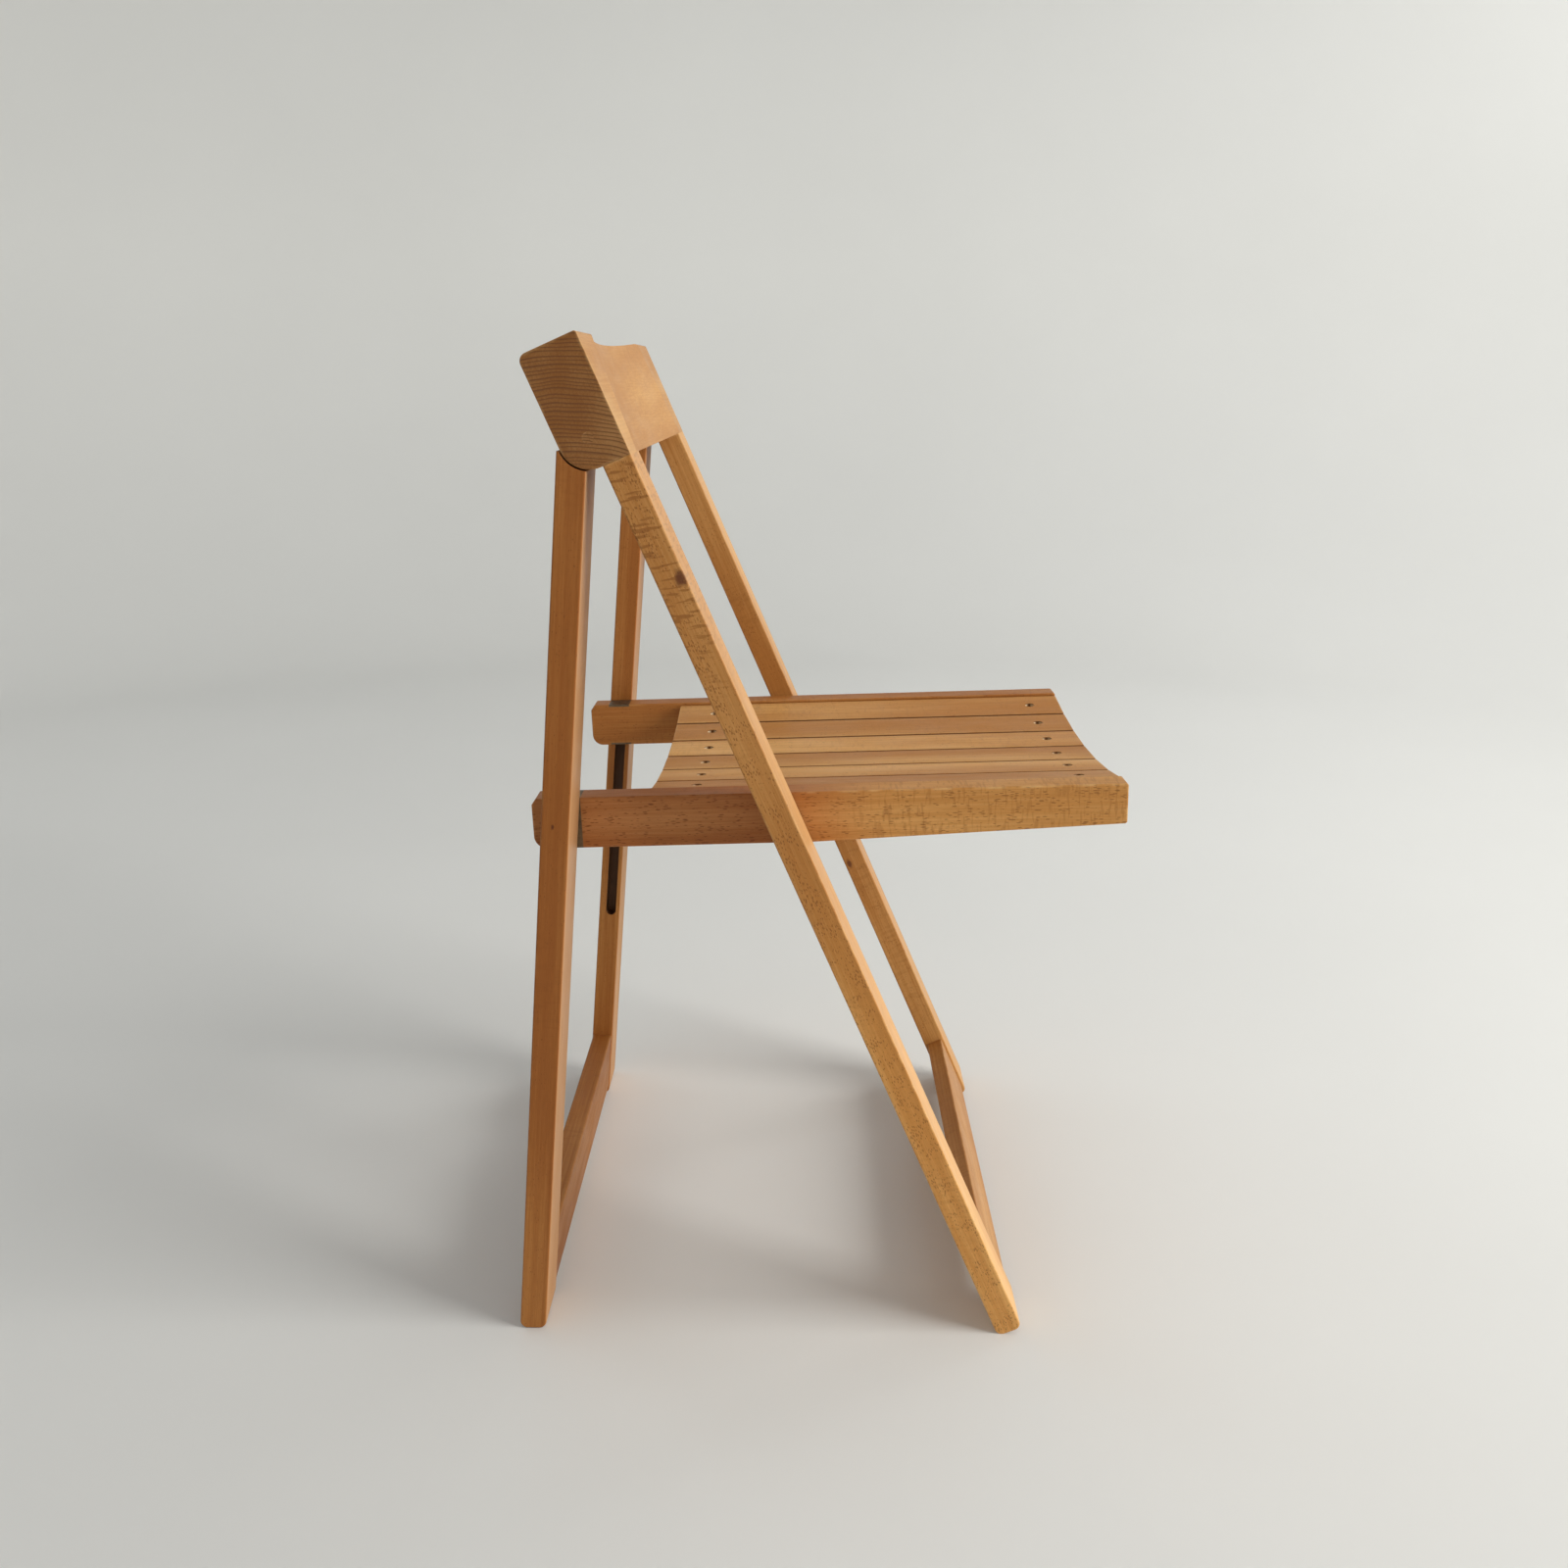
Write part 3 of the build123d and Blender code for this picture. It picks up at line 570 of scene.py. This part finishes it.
def make_screws(row, material):
    """Cross-head screws in place of one row's plain ones."""
    node_name = f"seat_screws_{row}"
    up = Vector((0, math.sin(SEAT_TILT), math.cos(SEAT_TILT)))
    across = Vector((1, 0, 0))
    made = bmesh.new()
    for index in range(SLATS):
        lean = slat_lean(f"seat_slat_{index + 1}")
        x = SEAT_DISH_RADIUS * math.sin(lean)
        axis = up * math.cos(lean) - across * math.sin(lean)
        near = [
            vertex.co
            for vertex in frame["nodes"][node_name].data.vertices
            if abs(vertex.co.x - x) < SLAT_REACH
        ]
        level = max(point.dot(axis) for point in near)
        rim = [point for point in near if point.dot(axis) > level - FLAT_SPARE]
        top = sum(rim, Vector()) / len(rim)
        twist = math.radians(37 * index + (20 if row == "rear" else 0))
        add_screw(made, top, axis, twist)
    mesh = bpy.data.meshes.new(f"screws_{row}")
    made.to_mesh(mesh)
    made.free()
    mesh.polygons.foreach_set("use_smooth", [True] * len(mesh.polygons))
    mesh.set_sharp_from_angle(angle=math.radians(35))
    mesh.materials.append(material)
    screws = bpy.data.objects.new(f"screws_{row}", mesh)
    bpy.context.scene.collection.objects.link(screws)
    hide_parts(node_name)
    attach(screws, "seat")


# ---- the boards ----------------------------------------------------------------
def dress(node_name, turn, seed, **look):
    put(node_name, wood(f"wood_{node_name}", frame["nodes"][node_name], turn, seed, **look))


def dress_front_frame():
    dress(
        "backrest",
        GRAIN_ACROSS_FRONT,
        1,
        pith=(0.155, 0.070),
        ring_spacing=2.8 * MM,
        ring_depth=0.16,
        fleck_amount=0.8,
        tone=0.88,
        warmth=-0.10,
        pale_front=0.2,
    )
    dress(
        "front_leg_right",
        GRAIN_UP_FRONT,
        2,
        pith=(0.10, 0.02),
        ring_depth=0.22,
        fleck_amount=1.05,
        fleck_sizes=(1.25 * MM, 3.2 * MM),
        curl=0.75,
        curl_zone=(0.17, 0.27),
        curl_period=2.6 * MM,
        curl_slant=-0.25,
        warmth=-0.02,
        # painted light: the leg's lower part lighter and paler, where more window light falls
        grading=(0.14, -0.16, colour(1.3, 1.42, 1.5)),
        pale_front=0.34,
        knots=[(0.284, (-0.024, -0.0065), (5 * MM, 5 * MM, 8 * MM))],
    )
    dress(
        "front_leg_left",
        GRAIN_UP_FRONT,
        3,
        pith=(-0.11, 0.03),
        ring_depth=0.22,
        fleck_amount=0.7,
        fleck_sizes=(1.25 * MM, 3.6 * MM),
        tone=0.98,
        warmth=-0.05,
        pale_front=0.30,
        knots=[(-0.085, (-0.024, 0.006), (4 * MM, 3 * MM, 6 * MM))],
    )
    dress(
        "front_stretcher",
        GRAIN_ACROSS_FRONT,
        4,
        pith=(0.02, 0.08),
        radial="y",
        fleck_amount=0.7,
        tone=0.87,
        pale_front=0.15,
    )


GROOVE_SKIN = 0.2 * MM  # left without painted shade beside the leg's inner face
GROOVE_REACH = 13 * MM
GROOVE_HALF = 5.6 * MM
GROOVE_END = 8 * MM


def groove_box(node_name, side):
    """The groove of a rear leg as a box in board coordinates: middle and half size."""
    turn = Euler(GRAIN_UP_REAR).to_matrix()
    low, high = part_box(node_name)
    pin_low, pin_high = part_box(f"slide_pin_{'right' if side < 0 else 'left'}")
    pin = turn @ ((pin_low + pin_high) / 2)
    inner = low.x if side > 0 else high.x
    travel = max(joint["range_m"][1] for joint in frame["joints"] if joint["type"] == "slide")
    inwards = side * (GROOVE_REACH + GROOVE_SKIN) / 2
    middle = Vector((inner + inwards, pin.y, pin.z - travel / 2))
    half_depth = (GROOVE_REACH - GROOVE_SKIN) / 2
    return middle, Vector((half_depth, GROOVE_HALF, travel / 2 + GROOVE_END))


def dress_rear_frame():
    dress(
        "rear_leg_right",
        GRAIN_UP_REAR,
        5,
        pith=(0.09, -0.03),
        ring_depth=0.30,
        fleck_amount=0.45,
        curl=0.12,
        tone=0.74,
        warmth=0.32,
        knots=[(0.07, (-0.024, 0.007), (1.3 * MM, 1.3 * MM, 2.4 * MM))],
        pale_front=0.42,
        hollow=groove_box("rear_leg_right", -1),
    )
    dress(
        "rear_leg_left",
        GRAIN_UP_REAR,
        6,
        pith=(-0.09, 0.03),
        ring_depth=0.30,
        fleck_amount=0.5,
        curl=0.12,
        tone=0.80,
        warmth=0.22,
        pale_front=0.3,
        hollow=groove_box("rear_leg_left", 1),
    )
    dress(
        "rear_stretcher",
        GRAIN_ACROSS_REAR,
        7,
        pith=(0.03, -0.09),
        radial="y",
        fleck_amount=0.6,
        tone=0.60,
        warmth=0.28,
    )


def slat_lean(slat_name):
    """How far a slat leans sideways to follow the dished seat."""
    low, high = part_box(slat_name)
    return math.asin((low.x + high.x) / 2 / SEAT_DISH_RADIUS)


def screw_bores(slat_name, turn):
    """The two screw holes of a slat as boxes in board coordinates."""
    middle, half = board_limits(frame["nodes"][slat_name], turn)
    reach = 4.6 * MM
    below_top = 0.4 * MM
    for row in ("rear", "front"):
        low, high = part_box(f"seat_screws_{row}")
        line = (Euler(turn).to_matrix() @ ((low + high) / 2)).z
        yield Vector((middle.x, middle.y - below_top, line)), Vector((reach, half.y, reach))


def dress_seat():
    dress(
        "seat_rail_right",
        GRAIN_ALONG_SEAT,
        8,
        pith=(0.09, 0.05),
        ring_depth=0.18,
        fleck_amount=1.0,
        fleck_sizes=(1.35 * MM, 6.0 * MM),
        curl=0.34,
        curl_zone=(-0.005, 0.05),
        curl_period=2.6 * MM,
        tone=1.18,
        warmth=-0.22,
        # painted shadow of the near front leg over the rail's rear part
        grading=(0.05, -0.06, colour(0.70, 0.52, 0.48)),
    )
    dress(
        "seat_rail_left",
        GRAIN_ALONG_SEAT,
        9,
        pith=(-0.09, 0.05),
        ring_depth=0.2,
        fleck_amount=0.6,
        tone=0.80,
        warmth=0.25,
    )
    tones = (1.04, 1.12, 1.07, 1.14, 1.08, 1.11)
    for index, tone in enumerate(tones):
        turn = (SEAT_TILT - QUARTER, 0, -slat_lean(f"seat_slat_{index + 1}"))
        dress(
            f"seat_slat_{index + 1}",
            turn,
            20 + index,
            pith=(0.05 * (index % 3 - 1), -0.10),
            ring_spacing=(3.0 + 0.4 * (index % 2)) * MM,
            ring_depth=0.22,
            radial="y",
            fleck_amount=0.6,
            curl=0.12,
            tone=tone,
            warmth=-0.10,
            bores=screw_bores(f"seat_slat_{index + 1}", turn),
            # painted shade in the gaps between the slats
            stained_sides=0.92,
        )
    for index, row in enumerate(("rear", "front")):
        dress(f"seat_cross_rail_{row}", GRAIN_ACROSS_SEAT, 30 + index, pith=(0.03, 0.08), tone=0.9)


def dress_small_wood():
    peg = {"pith": (0.02, 0.01), "ring_spacing": 2 * MM}
    for index, side in enumerate(("right", "left")):
        dress(f"back_hinge_plug_{side}", GRAIN_ACROSS_FRONT, 40 + index, tone=0.8, **peg)
        dress(f"block_dowels_{side}", GRAIN_UP_FRONT, 44 + index, **peg)
        for count, row in enumerate(("front", "rear", "seat")):
            dress(f"{row}_dowels_{side}", GRAIN_ACROSS_SEAT, 50 + 2 * count + index, **peg)


# Base colour, stained colour, roughness and scratch sizes along x, y and z.
ZINC = (colour(0.21, 0.15, 0.09), colour(0.10, 0.07, 0.045), 0.5, (0.4 * MM, 8 * MM, 0.4 * MM))
PIN_STEEL = (
    colour(0.58, 0.57, 0.54),
    colour(0.33, 0.32, 0.30),
    0.34,
    (6 * MM, 0.3 * MM, 0.3 * MM),
)
# Kept dark as painted shade on the screw heads at the bottom of their holes.
SCREW_STEEL = (
    colour(0.16, 0.145, 0.115),
    colour(0.08, 0.07, 0.05),
    0.45,
    (0.3 * MM, 0.3 * MM, 2 * MM),
)


def dress_fittings():
    zinc = steel("zinc_steel", *ZINC)
    pin = steel("pin_steel", *PIN_STEEL)
    plastic = nylon("washer_nylon")
    for side in ("right", "left"):
        put(f"slide_bracket_{side}", zinc)
        put(f"back_hinge_pin_{side}", pin)
        put(f"seat_pivot_pin_{side}", pin)
        put(f"slide_pin_{side}", pin)
        put(f"seat_washer_{side}", plastic)
    screw = steel("screw_steel", *SCREW_STEEL)
    for row in ("rear", "front"):
        make_screws(row, screw)


# ---- studio --------------------------------------------------------------------
FLOOR_RADIUS = 2.6
COVE_RADIUS = 1.1
WALL_TOP = 3.2
COVE_STEPS = 16
BACKDROP_SIDES = 96


def backdrop_profile():
    """Points (radius, height) from the floor's middle out and up the cove."""
    points = [(radius, 0.0) for radius in (0.0, 0.6, 1.2, 1.9, FLOOR_RADIUS)]
    for step in range(1, COVE_STEPS + 1):
        angle = QUARTER * step / COVE_STEPS
        radius = FLOOR_RADIUS + COVE_RADIUS * math.sin(angle)
        points.append((radius, COVE_RADIUS * (1 - math.cos(angle))))
    points.append((FLOOR_RADIUS + COVE_RADIUS, WALL_TOP))
    return points


def floor_material():
    tree = Tree("studio_floor")
    place = tree.node("ShaderNodeTexCoord").outputs["Object"]
    cloud = tree.noise(place, scale=1.3, detail=3.0)
    body = tree.mix(cloud, colour(0.76, 0.76, 0.735), colour(0.81, 0.81, 0.785))
    return tree.finish(Base_Color=body, Roughness=0.55, Specular_IOR_Level=0.3)


def make_backdrop():
    profile = backdrop_profile()
    points = [(0.0, 0.0, 0.0)]
    for radius, height in profile[1:]:
        for turn in range(BACKDROP_SIDES):
            angle = 2 * math.pi * turn / BACKDROP_SIDES
            points.append((radius * math.cos(angle), radius * math.sin(angle), height))
    faces = [(0, 1 + turn, 1 + (turn + 1) % BACKDROP_SIDES) for turn in range(BACKDROP_SIDES)]
    for ring in range(len(profile) - 2):
        first = 1 + ring * BACKDROP_SIDES
        second = first + BACKDROP_SIDES
        for turn in range(BACKDROP_SIDES):
            following = (turn + 1) % BACKDROP_SIDES
            faces.append((first + turn, second + turn, second + following, first + following))
    mesh = bpy.data.meshes.new("studio_floor")
    mesh.from_pydata(points, [], faces)
    mesh.polygons.foreach_set("use_smooth", [True] * len(mesh.polygons))
    mesh.materials.append(floor_material())
    floor = bpy.data.objects.new("studio_floor", mesh)
    bpy.context.scene.collection.objects.link(floor)


def area_light(name, place, target, size, power, tint=(1, 1, 1)):
    data = bpy.data.lights.new(name, "AREA")
    data.shape = "RECTANGLE"
    data.size, data.size_y = size
    data.energy = power
    data.color = tint
    light = bpy.data.objects.new(name, data)
    light.location = place
    light.rotation_mode = "QUATERNION"
    light.rotation_quaternion = (Vector(target) - Vector(place)).to_track_quat("-Z", "Y")
    light.visible_camera = False
    bpy.context.scene.collection.objects.link(light)


def light_studio():
    world = bpy.data.worlds.new("studio")
    world.use_nodes = True
    background = world.node_tree.nodes["Background"]
    background.inputs["Color"].default_value = colour(0.93, 0.96, 1.0)
    background.inputs["Strength"].default_value = 0.22
    bpy.context.scene.world = world
    middle = (0, 0, 0.4)
    area_light("window", (-0.95, -2.8, 1.7), middle, (1.7, 1.7), 90.0, (1.0, 0.985, 0.955))
    area_light("ceiling", (0.3, -0.3, 2.8), middle, (2.2, 2.2), 9.0)
    area_light("wall_wash", (1.5, -1.9, 2.1), (3.4, -0.9, 0.6), (1.4, 1.4), 17.0)
    area_light("back_fill", (1.0, 2.6, 1.9), middle, (1.8, 1.8), 8.0, (0.95, 0.975, 1.0))
    bpy.context.scene.view_settings.view_transform = "Standard"


# ---- camera --------------------------------------------------------------------
CAMERA_PLACE = (-1.191168, 0.016445, 0.738369)
CAMERA_YAW = 0.0086516  # towards +Y, from looking along +X
CAMERA_DROP = 0.279074
CAMERA_ROLL = 0.0069734
LENS = 32.305
SENSOR = 36.0


def make_camera():
    forward = Vector((math.cos(CAMERA_YAW), math.sin(CAMERA_YAW), 0))
    right = Vector((forward.y, -forward.x, 0))
    up = Vector((0, 0, 1))
    view = math.cos(CAMERA_DROP) * forward - math.sin(CAMERA_DROP) * up
    top = math.sin(CAMERA_DROP) * forward + math.cos(CAMERA_DROP) * up
    level = math.cos(CAMERA_ROLL) * right + math.sin(CAMERA_ROLL) * top
    head = math.cos(CAMERA_ROLL) * top - math.sin(CAMERA_ROLL) * right
    data = bpy.data.cameras.new("camera")
    data.lens = LENS
    data.sensor_width = SENSOR
    camera = bpy.data.objects.new("camera", data)
    turn = Matrix((level, head, -view)).transposed().to_4x4()
    camera.matrix_world = Matrix.Translation(CAMERA_PLACE) @ turn
    bpy.context.scene.collection.objects.link(camera)
    bpy.context.scene.camera = camera


make_camera()
make_backdrop()
light_studio()
dress_front_frame()
dress_rear_frame()
dress_seat()
dress_small_wood()
dress_fittings()
